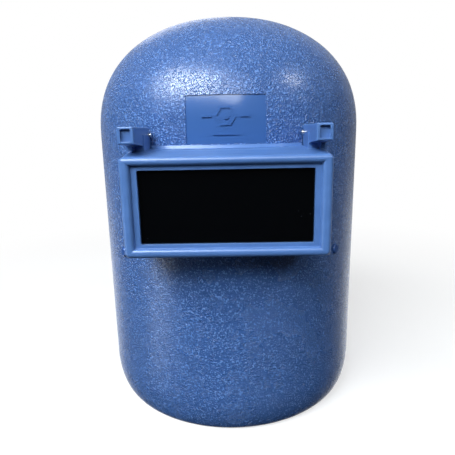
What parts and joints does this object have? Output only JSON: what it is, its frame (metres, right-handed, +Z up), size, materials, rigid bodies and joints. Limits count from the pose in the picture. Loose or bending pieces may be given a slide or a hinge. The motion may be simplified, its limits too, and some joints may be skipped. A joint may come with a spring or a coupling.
{
  "type": "welding helmet",
  "caption": "Head-worn welding helmet: one-piece grained shell, lift-front lens lid on top hinges, and an adjustable headgear on side pivots.",
  "frame": {"origin": "on the floor, in the middle of the helmet's footprint box, which is on the shell's plan axis", "axes": "+Z up, the window looks along -Y, +X is the wearer's left"},
  "size_m": [0.23, 0.2634, 0.2972],
  "materials": {
    "shell_plastic": "pebble-grained moulded plastic, blue, soft sheen",
    "lid_plastic": "smooth satin moulded plastic, the same blue",
    "rivet_plastic": "smooth darker blue plastic",
    "black_plastic": "black moulded nylon",
    "band_plastic": "flexible dark polyethylene",
    "white_plastic": "natural acetal",
    "rubber": "black rubber",
    "pin_steel": "bright steel",
    "brass": "turned brass",
    "dark_glass": "glossy cover plate, near black over the filter",
    "filter_glass": "nearly opaque dark welding filter",
    "clear_glass": "clear safety plate",
    "sweatband": "dark padded cloth over foam"
  },
  "bodies": {
    "helmet_shell": {"shell": "shell_plastic", "window_frame": "lid_plastic", "inner_frame": "black_plastic", "frame_rivets": "rivet_plastic", "rivet_washers": "black_plastic", "knob_washers": "rubber", "tilt_stop_left": "black_plastic", "tilt_stop_right": "black_plastic", "safety_lens": "clear_glass", "safety_lens_gasket": "rubber", "safety_lens_retainer": "black_plastic"},
    "lid": {"lens_lid": "lid_plastic", "hinge_pins": "pin_steel", "cover_lens": "dark_glass", "lens_gasket": "rubber", "filter_lens": "filter_glass", "lens_retainer": "black_plastic", "retaining_springs": "pin_steel"},
    "headgear": {"head_band": "band_plastic", "sweatband": "sweatband", "crown_peg": "black_plastic", "crown_rivets": "black_plastic", "crown_strap_left": "band_plastic", "crown_strap_right": "band_plastic", "pivot_bolts": "pin_steel", "friction_washers": "rubber", "strap_studs": "black_plastic", "arm_rivets": "pin_steel", "side_arm_left": "band_plastic", "side_arm_right": "band_plastic", "rack_strap_left": "band_plastic", "rack_strap_right": "band_plastic"},
    "ratchet_unit": {"ratchet_housing": "black_plastic", "ratchet_cover": "black_plastic", "cover_screws": "pin_steel", "detent_spring": "pin_steel", "nape_pad": "sweatband"},
    "ratchet_knob": {"ratchet_knob": "black_plastic", "ratchet_pinion": "white_plastic"},
    "tension_knob_left": {"tension_knob_left": "black_plastic", "knob_nut_left": "brass"},
    "tension_knob_right": {"tension_knob_right": "black_plastic", "knob_nut_right": "brass"}
  },
  "joints": [
    {"name": "lid_flip", "type": "hinge", "parent": "helmet_shell", "child": "lid", "pos_m": [0, -0.0971, 0.2106], "axis": [-1, 0, 0], "range_deg": [0, 90]},
    {"name": "helmet_tilt", "type": "hinge", "parent": "helmet_shell", "child": "headgear", "pos_m": [0, 0.036, 0.1996], "axis": [1, 0, 0], "range_deg": [0, 72]},
    {"name": "band_size", "type": "slide", "parent": "headgear", "child": "ratchet_unit", "axis": [0, -0.9781, 0.2079], "range_m": [0, 0.02], "deforming": ["rack_strap_left", "rack_strap_right"]},
    {"name": "ratchet_turn", "type": "hinge", "parent": "ratchet_unit", "child": "ratchet_knob", "pos_m": [0, 0.11318, 0.1832], "axis": [0, -0.9781, 0.2079], "range_deg": [0, 209.35]},
    {"name": "tension_left", "type": "hinge", "parent": "headgear", "child": "tension_knob_left", "pos_m": [0.11, 0.036, 0.1996], "axis": [1, 0, 0], "range_deg": [0, 180]},
    {"name": "tension_right", "type": "hinge", "parent": "headgear", "child": "tension_knob_right", "pos_m": [-0.11, 0.036, 0.1996], "axis": [-1, 0, 0], "range_deg": [0, 180]}
  ],
  "couplings": [
    {"joint": "ratchet_turn", "follows": "band_size", "rad_per_m": 181.82}
  ]
}
